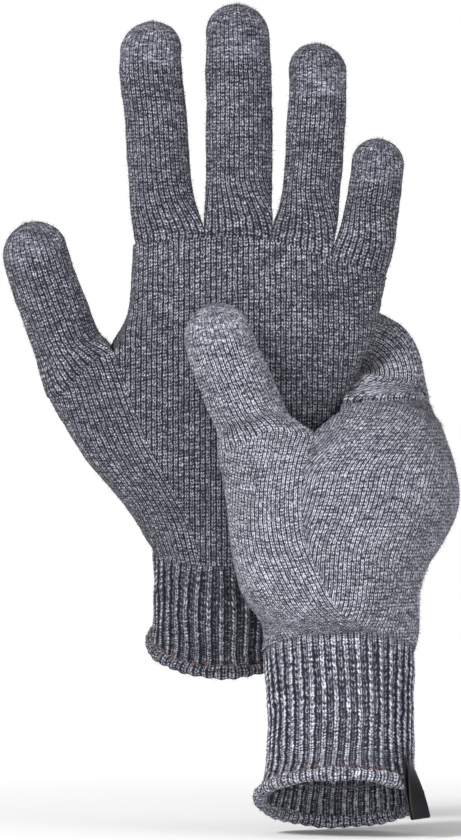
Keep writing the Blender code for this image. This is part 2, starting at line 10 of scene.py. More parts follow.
import bpy
import numpy as np
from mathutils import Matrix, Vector


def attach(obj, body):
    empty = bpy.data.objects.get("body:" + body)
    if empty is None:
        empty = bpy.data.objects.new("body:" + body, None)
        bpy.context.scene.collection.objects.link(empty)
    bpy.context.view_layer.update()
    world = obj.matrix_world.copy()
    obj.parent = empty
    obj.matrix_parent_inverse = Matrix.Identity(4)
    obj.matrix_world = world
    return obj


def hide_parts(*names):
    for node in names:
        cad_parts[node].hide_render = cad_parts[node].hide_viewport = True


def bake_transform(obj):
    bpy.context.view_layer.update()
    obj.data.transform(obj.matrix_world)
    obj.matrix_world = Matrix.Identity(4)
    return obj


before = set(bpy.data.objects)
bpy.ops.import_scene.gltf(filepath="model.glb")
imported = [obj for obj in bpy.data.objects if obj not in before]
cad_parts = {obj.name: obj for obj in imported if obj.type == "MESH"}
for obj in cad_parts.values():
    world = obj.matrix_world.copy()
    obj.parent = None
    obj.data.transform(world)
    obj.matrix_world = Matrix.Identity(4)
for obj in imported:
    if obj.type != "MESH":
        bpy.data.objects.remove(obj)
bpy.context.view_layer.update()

MM = 0.001
SHIFT = np.array([0.0, 45.0, 0.0])  # from the left palm's frame to the part's frame

# stitches and fibres
COURSE = 1.27  # height of a row of stitches
LEFT_WALE = 2.0  # width of a column of stitches
RIGHT_WALE = 1.65
STITCH_HEIGHT = 0.30
FIBRE_LENGTH = 1.3
STEP = 0.56  # spacing of the surface grids

# hands and palms
LINE_SHARES = np.linspace(0, 1, 121)
THUMB_POINT = 40  # the thumb crotch is a third of the way along a hand's line
END_INSET = 0.014
APART = 0.002  # gap between neighbouring stalls, as a share of the knuckle line
EDGE_COLUMNS = 8
WALL_COLUMNS = 10
PALM_MATCH = 0.7  # share of the palm's height over which it takes its own shape
SEAM_ROWS = 8
SPLIT_REACH = 24
RISE_COLUMNS = 16.0

# stalls
START_RISE = 3.0
TURN_LENGTH = 20.0
SIDE_ANGLE = math.radians(28)
FRONT_COLUMNS = 40
SIDE_COLUMNS = 14
SPINE_SHARES = np.linspace(0, 1, 161)
CAP_LENGTH = 13.0
CAP_ROWS = 30
THUMB_SETTLE = 14.0  # length over which a stall turns from the palm's edge into an oval
LEFT_FINGER_SETTLE = 25.0
RIGHT_FINGER_SETTLE = 12.0
LONG_BEND = 14.0  # reach set for the thumb's and the left fingers' stalls
SHORT_BEND = 9.0

# cuffs, hems and yarns
RIB_PERIOD = 4.5
RIB_DEPTH = 0.75
RIB_SHADE = 0.09
RIB_THICKNESS = 1.3
RIB_SINK = 0.25
RIB_OVERLAP = 2.4
HEM_RADIUS = 2.4
HEM_TURNS = 28
YARN_SIDES = 6

# Stations of the sleeves: points across, then half depth and roundness.
LEFT_HAND = [
    ((-68.5, 12, 93), (-51, 12, 92), (-33, 12, 92), (-15.5, 12, 93), 23.5, 2.0),
    ((-81, 6, 111), (-58, 8, 110), (-31, 9, 109), (-7, 9, 108), 20.5, 2.3),
    ((-95, 2, 128), (-73, 3, 136), (-36, 4, 137), (-1, 4, 134), 18.0, 2.6),
    ((-107, -1, 148), (-85, 0, 167), (-37, 1, 172), (10.5, 1, 166), 15.5, 2.8),
]
LEFT_PALM = [
    ((-85, 0, 167), (-37, 1, 172), (10.5, 1, 166), 15.5, 2.8),
    ((-78, 0, 181), (-32, 0, 185), (14.8, 0, 178), 14.8, 2.8),
    ((-76, 0, 206), (-30, 0, 208), (18.3, 0, 194), 14.0, 2.8),
]
RIGHT_HAND = [
    ((-18.8, -49.5, 60.6), (-6.3, -36.5, 57.3), (6.3, -23.5, 53.9), (18.8, -10.5, 50.6), 28.0, 2.0),
    ((-32, -47, 73), (-12, -42, 74), (6, -33, 74), (13, -3, 72), 23.5, 2.1),
    ((-38, -43, 87), (-16, -39, 90), (11, -31, 90), (18, 16, 87), 19.5, 2.3),
    ((-41, -34, 106), (-15, -32, 113), (24, -24, 114), (28, 48, 110), 17.5, 2.6),
    ((-44, -28, 125), (-11, -27, 136), (22, -16, 138), (25.5, 68, 133), 13.5, 2.8),
]
RIGHT_PALM = [
    ((-11, -27, 136), (22, -16, 138), (25.5, 68, 133), 13.5, 2.8),
    ((-1, -20, 141.5), (21.5, -6, 143), (23.5, 73, 139), 13.0, 2.8),
    ((9, -10, 147), (21, 3, 148), (22, 80, 144), 12.6, 2.8),
]
# Stations of the cuffs: centre, half width, half depth and lean in degrees.
LEFT_CUFF = [
    ((-42, 28.5, 59.5), 27.0, 25.5, -25),
    ((-42, 24.0, 68), 26.3, 24.0, -25),
    ((-42, 18.0, 80), 26.3, 23.5, -20),
    ((-42, 12.0, 92.4), 26.5, 23.5, -15),
]
RIGHT_CUFF = [
    ((0, -44.0, 4.5), 28.6, 29.5, 20),
    ((0.6, -41.5, 14), 26.8, 28.0, 18),
    ((0.8, -36.0, 34), 26.4, 27.0, 16),
    ((0.0, -30.0, 55.2), 28.0, 28.0, 15),
]
# Stalls: share of the knuckle line, spine, half widths, half depths, where the tip starts, sideways.
LEFT_FINGERS = {
    "index": ((0.0, 0.27), [(-65.7, 0, 226), (-67.5, 0, 252), (-69.6, 0, 274), (-68.6, 0, 289.6)],
              [12.6, 12.1, 11.5, 11.5, 11.5], [13.6, 10.6, 10.0, 9.6, 9.4], 0.80, (1, 0, 0)),
    "middle": ((0.27, 0.53), [(-36.7, 0, 228), (-36.6, 0, 256), (-37.0, 0, 280), (-37.6, 0, 296.3)],
               [12.5, 12.5, 12.3, 11.8, 11.8], [13.8, 10.8, 10.2, 9.8, 9.6], 0.76, (1, 0, 0)),
    "ring": ((0.53, 0.775), [(-10.2, 0, 222), (-8.2, 0, 246), (-7.0, 0, 266), (-7.6, 0, 281.5)],
             [11.8, 11.0, 10.6, 10.6, 10.6], [13.6, 10.2, 9.8, 9.4, 9.2], 0.74, (1, 0, 0)),
    "little": ((0.775, 1.0), [(11.3, 0, 210), (13.6, 0, 222), (15.2, 0, 233), (16.0, 0, 245.6)],
               [10.6, 10.2, 10.0, 9.8, 9.8], [12.4, 9.6, 9.2, 9.0, 8.8], 0.66, (1, 0, -0.12)),
}
LEFT_THUMB = ([(-101.5, -1, 171), (-107.5, -1, 187), (-112.0, -1, 200.5), (-115.6, -1, 214.2)],
              [14.5, 12.8, 12.3, 12.1, 12.1], [13.8, 12.2, 11.6, 11.2, 11.0], 0.76, (1, 0, 0.34))
RIGHT_THUMB = ([(-34.0, -28.5, 146), (-40.5, -29, 160), (-44.5, -29, 172), (-47.8, -29, 183.2)],
               [15.5, 14.0, 13.2, 12.6, 12.2], [12.6, 12.4, 12.2, 12.0, 11.6], 0.74, (1, 0, 0.34))
RIGHT_SHARES = {"index": (0.0, 0.275), "middle": (0.275, 0.53), "ring": (0.53, 0.775), "little": (0.775, 1.0)}
RIGHT_SPINE = [(20.8, 6.0, 157), (19.0, 13.0, 164), (13.5, 20, 168.5), (6, 25.5, 170), (-9, 28, 169.5),
               (-33, 28, 165)]
# Place of each right finger's curl beside the index's, and its size.
RIGHT_STEP = {"index": (0, 0, 0), "middle": (0, 23.3, 2), "ring": (0, 44.1, 0), "little": (1, 63.0, -4)}
RIGHT_SIZE = {"index": 1.0, "middle": 1.0, "ring": 0.95, "little": 0.86}

LABEL_TOP = (24.4, -62.6, 18.5)
LABEL_DIRECTION = (0.22, -0.16, -1.0)
LABEL_ACROSS = (0.80, 0.60, 0.0)
LABEL_WIDTH = 8.0
LABEL_LENGTH = 24.0
LABEL_HALF = 0.9  # half the thickness of the folded ribbon
LABEL_PLY = 0.45
LABEL_TWIST = 0.95

FLOOR_LEVEL = -0.0115  # metres, as everything from here on
FLOOR_REACH = 6.0
PAIR_MIDDLE = (-0.04, 0.045, 0.14)
LAMPS = (
    ("key", (-1.1, -1.0, 1.2), 0.5, 31, PAIR_MIDDLE),
    ("fill", (1.2, -1.0, 0.5), 0.9, 7, PAIR_MIDDLE),
    ("low", (0.02, -0.75, 0.0), 0.35, 7, (0.0, 0.02, 0.03)),
)
CAMERA_LENS = 300
CAMERA_PLACE = (-0.0398, -2.568, 0.1407)


# ---- curves and sections

def unit(vector):
    vector = np.asarray(vector, float)
    return vector / np.maximum(np.linalg.norm(vector, axis=-1, keepdims=True), 1e-9)


def smooth_path(rows, where):
    """Rows of numbers blended smoothly at places from 0 to 1 along them."""
    rows = np.asarray(rows, float)
    spans = len(rows) - 1
    ends = np.vstack([2 * rows[0] - rows[1], rows, 2 * rows[-1] - rows[-2]])
    x = np.clip(np.atleast_1d(np.asarray(where, float)), 0, 1) * spans
    i = np.minimum(x.astype(int), spans - 1)
    t = (x - i)[:, None]
    a, b, c, d = (ends[i + k] for k in range(4))
    cubic = 3 * b - a - 3 * c + d
    return 0.5 * (2 * b + (c - a) * t + (2 * a - 5 * b + 4 * c - d) * t**2 + cubic * t**3)


def smoothstep(x):
    x = np.clip(x, 0, 1)
    return x * x * (3 - 2 * x)


def arc_length(points):
    steps = np.linalg.norm(np.diff(points, axis=0), axis=1)
    return np.concatenate([[0], np.cumsum(steps)])


class Sleeve:
    """A flattened tube round a bent mid-line, blended between stations."""

    def __init__(self, stations, upright=False):
        self.rows = [np.concatenate([np.ravel(s[:-2]), s[-2:]]) for s in stations]
        self.upright = upright

    def row(self, level):
        return smooth_path(self.rows, level)[0]

    def line(self, level):
        return self.row(level)[:-2].reshape(-1, 3)

    def dense(self, level):
        return smooth_path(self.line(level), LINE_SHARES)

    def up(self, level):
        low = self.line(max(level - 0.05, 0)).mean(0)
        high = self.line(min(level + 0.05, 1)).mean(0)
        upright = smoothstep(level) if self.upright else 0.0
        return unit(unit(high - low) * (1 - upright) + np.array([0, 0, upright]))

    def at(self, level, across, side):
        depth, power = self.row(level)[-2:]
        dense = self.dense(level)
        run = arc_length(dense)
        place = np.asarray(across, float) * run[-1]
        middle = np.stack([np.interp(place, run, dense[:, k]) for k in range(3)], 1)
        slope = np.gradient(dense, run, axis=0)
        tangent = unit(np.stack([np.interp(place, run, slope[:, k]) for k in range(3)], 1))
        normal = unit(np.cross(tangent, self.up(level)))
        edge = np.abs(2 * np.asarray(across, float) - 1)
        half = depth * np.maximum(1 - edge**power, 0) ** (1 / power)
        return middle + normal * (half * side)[:, None]

    def crotch_share(self, level):
        run = arc_length(self.dense(level))
        return run[THUMB_POINT] / run[-1]


def rounded_end(edge, end, count):
    """Columns from the front to the back round an edge of a flattened tube."""
    turn = np.linspace(0, math.pi, count + 2)[1:-1]
    cosine = np.round(np.cos(turn), 6)
    return [(end + (edge - end) * c * c, 1.0 if c >= 0 else -1.0) for c in cosine]


def wall(edge, count):
    """Columns from the front to the back straight through a flattened tube."""
    turn = np.linspace(0, math.pi, count + 2)[1:-1]
    return [(edge, math.cos(a)) for a in turn]


def loop_normal(loop, towards):
    """Normal of the plane that a closed loop lies in, on the given side."""
    normal = unit(np.cross(loop, np.roll(loop, -1, 0)).sum(0))
    return normal if np.dot(normal, towards) > 0 else -normal


def soft_noise(points, size, seed):
    """Smooth, repeatable bumps from -1 to 1 at places in space, about size millimetres wide."""
    draw = np.random.default_rng(seed)
    total = np.zeros(points.shape[:-1])
    for _ in range(7):
        way = unit(draw.normal(size=3)) * (2 * math.pi / size) * draw.uniform(0.6, 1.5)
        total += np.sin(points @ way + draw.uniform(0, 2 * math.pi))
    return total / 3.5


def in_scene(name, data):
    item = bpy.data.objects.new(name, data)
    bpy.context.scene.collection.objects.link(item)
    return item


# ---- knitted surfaces

def stitch_relief(u, v):
    """Height in millimetres of plain knit: two slanting strands in each wale."""
    p = np.abs(u - np.floor(u) - 0.5)
    border = smoothstep((0.5 - p) / 0.22)
    spine = 0.75 + 0.25 * smoothstep(p / 0.14)
    strand = 0.5 + 0.5 * np.cos(2 * math.pi * (v - 1.5 * p))
    return STITCH_HEIGHT * border * spine * (0.62 + 0.38 * strand)


def outward(rings):
    """Outward normals of a stack of closed rings."""
    along = np.gradient(rings, axis=0)
    sideways = np.roll(rings, -1, 1) - np.roll(rings, 1, 1)
    normals = unit(np.cross(sideways, along))
    facing = np.sum(normals * (rings - rings.mean(1, keepdims=True)), -1).mean()
    return normals if facing >= 0 else -normals


def settle_web(points):
    """The right glove's fabric sags between thumb and index, and fills out the index's base."""
    x, y, z = points.T
    sag = np.exp(-((x + 10) / 10) ** 2 - ((z - 143) / 12) ** 2)
    fill = np.exp(-((x - 7) / 7) ** 2 - ((z - 149.5) / 8) ** 2 - (y / 15) ** 2)
    moved = points.copy()
    moved[:, 2] -= 6.0 * sag
    moved[:, 0] -= 6.0 * fill
    return moved


def fibres(points, normals, count, seed):
    """Short loose fibres that stand off a grid of surface points: thin three-sided threads."""
    draw = np.random.default_rng(seed)
    flat, up = points.reshape(-1, 3), normals.reshape(-1, 3)
    chosen = draw.integers(0, len(flat), count)
    root, up = flat[chosen] - up[chosen] * 0.25, up[chosen]
    way = unit(up * 0.55 + unit(draw.normal(size=(count, 3))) * 0.8)
    way = unit(way + up * np.maximum(0.25 - np.sum(way * up, -1), 0)[:, None] * 1.5)
    bend = unit(draw.normal(size=(count, 3)))
    length = draw.uniform(0.5, 1.2, count)[:, None] * FIBRE_LENGTH
    first = unit(np.cross(way, bend))
    second = np.cross(way, first)
    rows = []
    for share, thick in ((0.0, 0.05), (0.5, 0.045), (1.0, 0.02)):
        centre = root + way * length * share + bend * (0.35 * length * share * share)
        for turn in (0.0, 2.1, 4.2):
            rows.append(centre + thick * (math.cos(turn) * first + math.sin(turn) * second))
    made = np.stack(rows, 1)
    quads = []
    for low in (0, 3):
        for k in range(3):
            quads.append((low + k, low + (k + 1) % 3, low + 3 + (k + 1) % 3, low + 3 + k))
    return made, np.array(quads), chosen


class Knit:
    """Collects grids of one knitted piece, with shared rows where grids meet."""

    def __init__(self):
        self.points, self.quads, self.uvs, self.count = [], [], [], 0

    def add(self, points):
        first = self.count
        flat = points.reshape(-1, 3)
        self.points.append(flat)
        self.count += len(flat)
        return np.arange(first, self.count).reshape(points.shape[:-1])

    def faces(self, numbers, u, closing, v):
        """Quads between closed rows of vertex numbers.

        u is the wale that starts at each column, and closing is the one that ends there.
        """
        following, u_next, v_next = (np.roll(a, -1, 1) for a in (numbers, closing, v))
        quads = np.stack([numbers[:-1], following[:-1], following[1:], numbers[1:]], -1)
        u4 = np.stack([u[:-1], u_next[:-1], u_next[1:], u[1:]], -1)
        v4 = np.stack([v[:-1], v_next[:-1], v_next[1:], v[1:]], -1)
        self.quads.append(quads.reshape(-1, 4))
        self.uvs.append(np.stack([u4, v4], -1).reshape(-1, 2))

    def fuzz(self, points, normals, u, v, count, seed):
        """Loose fibres that take the knit coordinates of the place they stand on."""
        made, quads, chosen = fibres(points, normals, count, seed)
        first = self.add(made.reshape(-1, 3)).reshape(len(made), -1)[:, 0]
        self.quads.append((first[:, None, None] + quads[None]).reshape(-1, 4))
        place = np.stack([u.reshape(-1)[chosen], v.reshape(-1)[chosen]], -1)
        self.uvs.append(np.repeat(place, len(quads) * 4, 0))

    def build(self, name, look):
        points = np.vstack(self.points)
        if name.startswith("right"):
            points = settle_web(points)
        quads = np.vstack(self.quads)
        mesh = bpy.data.meshes.new(name)
        count = len(quads)
        mesh.vertices.add(len(points))
        mesh.vertices.foreach_set("co", ((points + SHIFT) * MM).astype(np.float32).ravel())
        mesh.loops.add(count * 4)
        mesh.loops.foreach_set("vertex_index", quads.astype(np.int32).ravel())
        mesh.polygons.add(count)
        mesh.polygons.foreach_set("loop_start", np.arange(0, count * 4, 4, dtype=np.int32))
        mesh.polygons.foreach_set("loop_total", np.full(count, 4, dtype=np.int32))
        layer = mesh.uv_layers.new(name="knit")
        layer.data.foreach_set("uv", np.vstack(self.uvs).astype(np.float32).ravel())
        mesh.update(calc_edges=True)
        mesh.validate()
        mesh.shade_smooth()
        mesh.materials.append(look)
        return in_scene(name, mesh)


def courses(points):
    """Course number at each grid point, counted up its own column."""
    steps = np.linalg.norm(np.diff(points, axis=0), axis=-1)
    return np.concatenate([np.zeros((1, points.shape[1])), np.cumsum(steps, 0)]) / COURSE


def dress(points, normals, u, v, fade, seed):
    """Surface with stitches and soft unevenness on it."""
    wave = 0.30 * soft_noise(points, 26, seed) + 0.10 * soft_noise(points, 7, seed + 1)
    return points + normals * (stitch_relief(u, v) * fade + wave)[..., None]


class Glove:
    """Shape of one glove: its hand, palm and the places where the stalls start."""

    def __init__(self, hand, palm, shares, wale, cuff, upright):
        self.hand, self.palm = Sleeve(hand), Sleeve(palm, upright=True)
        self.wale, self.cuff, self.shares, self.upright = wale, cuff, shares, upright

    def finger_base(self, name):
        """Ring of the palm's edge that a finger stall grows from, and the direction it starts in."""
        start, end = self.shares[name]
        low = start + APART if start > 0 else END_INSET
        high = end - APART if end < 1 else 1 - END_INSET
        front = np.linspace(low, high, FRONT_COLUMNS + 1)
        right = rounded_end(front[-1], 1.0, SIDE_COLUMNS) if end >= 1 else wall(front[-1], SIDE_COLUMNS)
        left = rounded_end(front[0], 0.0, SIDE_COLUMNS) if start <= 0 else wall(front[0], SIDE_COLUMNS)
        ring = [(w, 1.0) for w in front] + right + [(w, -1.0) for w in front[::-1]] + left[::-1]
        base = self.palm.at(1.0, *np.array(ring).T)
        whole = [(w, 1.0) for w in np.linspace(0.02, 0.98, 40)]
        whole += [(w, -1.0) for w in np.linspace(0.98, 0.02, 40)]
        return base, loop_normal(self.palm.at(1.0, *np.array(whole).T), (0, 0, 1))

    def thumb_base(self):
        share = self.hand.crotch_share(1.0)
        inner = share + (1 - share) * END_INSET
        front = np.linspace(share * 4 * END_INSET, inner, FRONT_COLUMNS + 1)
        ring = [(w, 1.0) for w in front] + wall(front[-1], SIDE_COLUMNS)
        ring += [(w, -1.0) for w in front[::-1]] + rounded_end(front[0], 0.0, SIDE_COLUMNS)[::-1]
        base = self.hand.at(1.0, *np.array(ring).T)
        return base, loop_normal(base, (0, 0, 1))


class Stall:
    """A finger or thumb tube that grows out of a slice of the hand's edge."""

    def __init__(self, base, up, spine, width, depth, side, settle):
        self.up, self.base, self.centre = up, base, base.mean(0)
        self.spine = np.vstack([self.centre, self.centre + up * START_RISE, spine])
        given = np.linspace(0, 1, len(width))
        wanted = np.linspace(0, 1, len(self.spine))
        self.sizes = np.stack([np.interp(wanted, given, c) for c in (width, depth)], 1)
        self.side, self.settle = unit(side), settle
        self.run = arc_length(smooth_path(self.spine, SPINE_SHARES))
        self.length = self.run[-1]
        front = np.linspace(math.pi - SIDE_ANGLE, SIDE_ANGLE, FRONT_COLUMNS + 1)
        turn = np.linspace(SIDE_ANGLE, -SIDE_ANGLE, SIDE_COLUMNS + 2)[1:-1]
        self.angles = np.concatenate([front, turn, -front[::-1], math.pi + turn])[:, None]

    def ring(self, distance):
        """Section at a distance up the stall: the palm's edge at first, then an oval, then a cap."""
        s = np.interp(distance, self.run, SPINE_SHARES)
        centre = smooth_path(self.spine, s)[0]
        before = smooth_path(self.spine, max(s - 0.04, 0))[0]
        after = smooth_path(self.spine, min(s + 0.04, 1))[0]
        lean = smoothstep(distance / TURN_LENGTH)
        way = unit(self.up * (1 - lean) + unit(after - before) * lean)
        out = unit(np.cross(self.side, way))
        width, depth = smooth_path(self.sizes, s)[0]
        left = np.clip((self.length - distance) / width, 0, 1)
        cap = math.sqrt(max(1 - (1 - left) ** 2, 0.0))
        oval = self.side * np.cos(self.angles) * width * cap + out * np.sin(self.angles) * depth * cap
        blend = smoothstep(distance / self.settle)
        return centre + (self.base - self.centre) * (1 - blend) + oval * blend


def even_ring(ring, count):
    """Closed ring resampled to evenly spaced points, starting at its first point."""
    loop = np.vstack([ring, ring[:1]])
    run = arc_length(loop)
    place = np.linspace(0, run[-1], count, endpoint=False)
    return np.stack([np.interp(place, run, loop[:, k]) for k in range(3)], 1)


def knit_stall(side, finger, stall, tip_share, wale, looks, seed):
    """Two meshes: the knitted stall, and the touch tip that closes it."""
    levels = np.arange(0, stall.length - CAP_LENGTH, STEP)
    cap = stall.length - CAP_LENGTH * (1 - np.sin(np.linspace(0, math.pi / 2, CAP_ROWS)))
    levels = np.concatenate([levels, cap[1:]])
    levels[-1] = stall.length - 0.002
    widest = np.mean([arc_length(stall.ring(d))[-1] for d in (12, stall.length * 0.5)])
    wales = max(round(widest / wale), 12)
    columns = wales * 4
    grid = np.stack([stall.ring(d) for d in levels])
    rings = np.stack([even_ring(r, columns) for r in grid])
    rings = 0.5 * rings + 0.25 * (np.roll(rings, 1, 1) + np.roll(rings, -1, 1))
    normals = outward(rings)
    u = np.tile(np.arange(columns) / 4.0, (len(levels), 1))
    v = np.tile(levels[:, None] / COURSE, (1, columns))
    near_tip = smoothstep((levels - stall.length * tip_share + 3) / 6)[:, None]
    end = smoothstep((stall.length - levels) / 4)[:, None]
    pick_up = np.exp(-((levels - 0.8) / 0.7) ** 2)[:, None]
    fade = (1 - 0.6 * near_tip) * end
    points = dress(rings, normals, u, v, fade, seed)
    groove = 0.40 if side == "left" else 0.1
    points -= normals * (groove * pick_up)[..., None]
    points[0] = rings[0] - normals[0] * 0.9 - stall.up * 1.2
    cut = int(np.searchsorted(levels, stall.length * tip_share))
    made = []
    for name, rows, look in ((f"{side}_{finger}_stall_knit", slice(0, cut + 1), looks["knit"]),
                             (f"{side}_{finger}_tip_knit", slice(cut, None), looks["tip"])):
        piece = Knit()
        numbers = piece.add(points[rows])
        ends = u[rows].copy()
        ends[:, 0] = wales
        piece.faces(numbers, u[rows], ends, v[rows])
        own, facing, own_u, own_v = (a[rows][1:-1] for a in (points, normals, u, v))
        piece.fuzz(own, facing, own_u, own_v, own.size // 24, seed + cut)
        made.append(piece.build(name, look))
    return made


def smooth_split(rings, upper, first, last):
    """Soften, in place, the change of shape where the palm goes on above the thumb crotch."""
    count = last - first + 1
    whole = np.concatenate([rings[:, first : last + 1], upper[1:, :count]])
    rows = np.arange(len(whole)) - (len(rings) - 1)
    kernel = np.exp(-((np.arange(-SPLIT_REACH, SPLIT_REACH + 1) / 9.0) ** 2))
    kernel /= kernel.sum()
    ends = np.repeat(whole[:1], SPLIT_REACH, 0), np.repeat(whole[-1:], SPLIT_REACH, 0)
    longer = np.concatenate([ends[0], whole, ends[1]])
    soft = sum(k * longer[n : n + len(whole)] for n, k in enumerate(kernel))
    inward = np.minimum(np.arange(count), np.arange(count)[::-1])
    weight = np.exp(-((rows / 26.0) ** 2)) * smoothstep((rows[-1] - rows) / 12.0)
    weight = (weight[:, None] * smoothstep(inward / 14.0)[None])[..., None]
    whole = whole * (1 - weight) + soft * weight
    rings[:, first : last + 1] = whole[: len(rings)]
    upper[:, :count] = whole[len(rings) - 1 :]


def palm_lean(height):
    """Sideways run of the right palm's wales, which slant towards the index finger as they rise."""
    return 14.0 * np.clip((height - 108) / 38, 0, None) ** 2


class HandGrid:
    """Grid round one hand: thumb and palm in front, right edge, palm and thumb behind, left edge."""

    def __init__(self, hand):
        self.hand, self.share = hand, hand.crotch_share(1.0)
        line = arc_length(hand.dense(1.0))[-1]
        thumb_count = int(line * self.share / STEP)
        palm_count = int(line * (1 - self.share) / STEP)
        low, inner = self.share * 4 * END_INSET, self.share + (1 - self.share) * END_INSET
        thumb = np.linspace(low, inner, thumb_count + 1)[:-1]
        self.knuckles = np.linspace(END_INSET, 1 - END_INSET, palm_count + 1)
        palm = self.share + (1 - self.share) * self.knuckles
        columns = [(w, 1.0) for w in thumb] + [(w, 1.0) for w in palm]
        columns += rounded_end(palm[-1], 1.0, EDGE_COLUMNS)
        columns += [(w, -1.0) for w in palm[::-1]] + [(w, -1.0) for w in thumb[::-1]]
        columns += rounded_end(low, 0.0, EDGE_COLUMNS)[::-1]
        self.columns = np.array(columns)
        self.palm_start = palm[0]
        self.crotch_front = len(thumb)
        self.palm_columns = 2 * len(palm) + EDGE_COLUMNS
        self.crotch_back = self.crotch_front + self.palm_columns - 1
        self.half = len(palm) // 2
        self.edge = len(palm) + EDGE_COLUMNS // 2

    def lower_rings(self):
        """Rings from the wrist to the thumb crotch."""
        middle = np.stack([self.hand.line(t)[2] for t in np.linspace(0, 1, 30)])
        rings = []
        for level in np.linspace(0, 1, int(arc_length(middle)[-1] / STEP)):
            here = self.hand.crotch_share(level)
            across = np.interp(self.columns[:, 0], [0, self.share, 1], [0, here, 1])
            rings.append(self.hand.at(level, across, self.columns[:, 1]))
        return np.stack(rings)

    def upper_rings(self, palm, last):
        """Rings of the palm alone, from the thumb crotch to the knuckles."""
        low_wall = self.hand.at(1.0, *np.array(wall(self.palm_start, WALL_COLUMNS)[::-1]).T)
        base = np.vstack([last[self.crotch_front : self.crotch_back + 1], low_wall])
        whole = [(w, 1.0) for w in self.knuckles] + rounded_end(self.knuckles[-1], 1.0, EDGE_COLUMNS)
        whole += [(w, -1.0) for w in self.knuckles[::-1]]
        whole += rounded_end(self.knuckles[0], 0.0, WALL_COLUMNS)[::-1]
        height = np.linalg.norm(palm.line(1.0)[1] - palm.line(0.0)[1])
        rings = [base]
        for step in np.linspace(0, 1, int(height / STEP) + 1)[1:]:
            own = palm.at(step, *np.array(whole).T)
            blend = smoothstep(step / PALM_MATCH)
            rings.append((base - base.mean(0) + own.mean(0)) * (1 - blend) + own * blend)
        return np.stack(rings)


def wale_numbers(rings, blocks, wale):
    """Wale that starts, and wale that ends, at each column of closed rings.

    Each block of columns (start, stop, reference, drift) counts its wales from a reference column,
    which drifts sideways from row to row.
    """
    run = np.stack([arc_length(np.vstack([ring, ring[:1]])) for ring in rings])
    columns = rings.shape[1]
    starts, ends = np.empty((2, len(rings), columns))
    for start, stop, reference, drift in blocks:
        place = (run[:, start : stop + 1] - run[:, [reference]] + np.reshape(drift, (-1, 1))) / wale
        starts[:, start:stop] = place[:, :-1]
        ends[:, start + 1 : stop] = place[:, 1:-1]
        ends[:, stop % columns] = place[:, -1]
    return starts, ends


def wale_drift(glove, front, back, first_front, first_back):
    """Sideways drift of the middle columns that keeps the wales upright, or slants the right palm's."""
    ahead = front[:, 0] - first_front[0]
    if glove.upright:
        return ahead, first_back[0] - back[:, 0]
    return ahead - palm_lean(front[:, 2]), 0.0


def knit_hand(side, glove, look, seed):
    """Hand, with the palm that goes on above the thumb crotch, and the loose fibres on both."""
    grid = HandGrid(glove.hand)
    rings = grid.lower_rings()
    upper = grid.upper_rings(glove.palm, rings[-1])
    first, last = grid.crotch_front, grid.crotch_back
    smooth_split(rings, upper, first, last)
    normals, palm_normals = outward(rings), outward(upper)
    front, back = grid.half, grid.palm_columns - 1 - grid.half
    starting = rings[0, first + front], rings[0, first + back]
    drift = wale_drift(glove, rings[:, first + front], rings[:, first + back], *starting)
    blocks = ((0, first, first, 0.0), (first, first + grid.edge, first + front, drift[0]),
              (first + grid.edge, last, first + back, drift[1]), (last, rings.shape[1], last, 0.0))
    u, ends = wale_numbers(rings, blocks, glove.wale)
    v = courses(rings)
    if not glove.upright:
        rise = (rings[..., 2] - rings[0, :, 2].mean()) / COURSE
        place = np.arange(rings.shape[1])
        inside = smoothstep((place - first) / RISE_COLUMNS) * smoothstep((last - place) / RISE_COLUMNS)
        v = v * (1 - inside) + rise * inside
    drift = wale_drift(glove, upper[:, front], upper[:, back], *starting)
    blocks = (0, grid.edge, front, drift[0]), (grid.edge, upper.shape[1], back, drift[1])
    palm_u, palm_ends = wale_numbers(upper, blocks, glove.wale)
    below = np.concatenate([v[-1, first : last + 1], np.full(WALL_COLUMNS, v[-1].mean())])
    palm_v = courses(upper) + below
    points = dress(rings, normals, u, v, 1.0, seed)
    palm_points = dress(upper, palm_normals, palm_u, palm_v, 1.0, seed)
    shared = grid.palm_columns
    gap = points[-1, first : last + 1] - palm_points[0, :shared]
    fade = 1 - smoothstep(np.linspace(0, 1, SEAM_ROWS))[1:]
    palm_points[1:SEAM_ROWS, :shared] += gap * fade[:, None, None]
    piece = Knit()
    numbers = piece.add(points)
    piece.faces(numbers, u, ends, v)
    base = np.concatenate([numbers[-1, first : last + 1], piece.add(palm_points[0, shared:])])
    piece.faces(np.vstack([base, piece.add(palm_points[1:])]), palm_u, palm_ends, palm_v)
    made = piece.build(f"{side}_hand_knit", look)
    loose = Knit()
    loose.fuzz(points, normals, u, v, points.size // 24, seed + 7)
    above = palm_points[1:], palm_normals[1:], palm_u[1:], palm_v[1:]
    loose.fuzz(*above, palm_points.size // 24, seed + 8)
    return made, loose.build(f"{side}_hand_fuzz", look)


def ring_axis(lean):
    tilt = math.radians(lean)
    return np.array([0, math.sin(tilt), math.cos(tilt)])


def oval_ring(row, angles, grow=0.0, rise=0.0):
    centre, (half_width, half_depth, lean) = row[:3], row[3:]
    along = ring_axis(lean)
    back = np.cross(along, (1.0, 0, 0))
    angle = angles[:, None]
    across = np.array([1.0, 0, 0]) * np.cos(angle) * (half_width + grow)
    return centre + along * rise + across - back * np.sin(angle) * (half_depth + grow)


def cuff_shape(glove):
    """Cuff sections as plain rows of numbers, and how many ribs go round."""
    rows = [np.concatenate([np.ravel(s[0]), s[1:]]) for s in glove.cuff]
    half_width, half_depth = rows[1][3:5]
    return rows, round(math.pi * (half_width + half_depth) / RIB_PERIOD)


